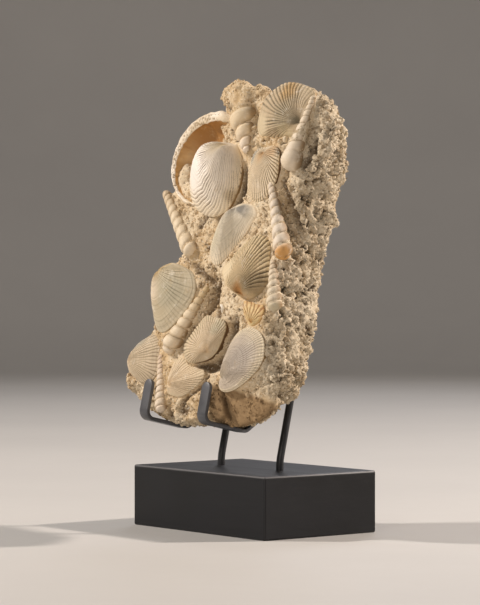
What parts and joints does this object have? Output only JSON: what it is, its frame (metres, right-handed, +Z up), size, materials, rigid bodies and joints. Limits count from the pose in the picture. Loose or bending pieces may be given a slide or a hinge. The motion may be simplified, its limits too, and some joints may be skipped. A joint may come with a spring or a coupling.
{
  "type": "fossil shell slab",
  "caption": "Slab of sandy rock crowded with fossil sea shells, held upright on a black display stand of wood and steel.",
  "frame": {"origin": "on the floor, under the centre of the stand's wooden block", "axes": "+Z up; the slab's shell face looks towards -Y and leans back; +X to the slab's right as one faces it"},
  "size_m": [0.2051, 0.1415, 0.3656],
  "materials": {
    "black_wood": "satin black paint",
    "black_steel": "satin black",
    "rock": "rough, sandy",
    "cream_shell": "matt fossil shell",
    "white_shell": "smooth fossil shell, faint sheen",
    "grey_shell": "matt fossil shell",
    "striped_shell": "matt fossil shell with orange stripes"
  },
  "bodies": {
    "root": {"base_block": "black_wood", "rod_left": "black_steel", "rod_right": "black_steel", "hook_left": "black_steel", "hook_right": "black_steel", "stone_matrix": "rock", "hollow_clam_valve": "white_shell", "white_cockle": "white_shell", "top_right_scallop": "grey_shell", "upper_middle_scallop": "cream_shell", "oblong_clam": "grey_shell", "ribbed_cockle": "cream_shell", "left_cockle": "grey_shell", "low_left_scallop": "cream_shell", "raised_scallop": "cream_shell", "low_middle_scallop": "cream_shell", "low_right_scallop": "grey_shell", "striped_fragment": "striped_shell", "shell_shard": "white_shell", "top_gastropod": "cream_shell", "right_gastropod": "cream_shell", "left_turritella": "cream_shell", "long_turritella": "white_shell", "short_turritella": "white_shell", "diagonal_turritella": "cream_shell", "bottom_turritella": "white_shell"}
  },
  "joints": []
}
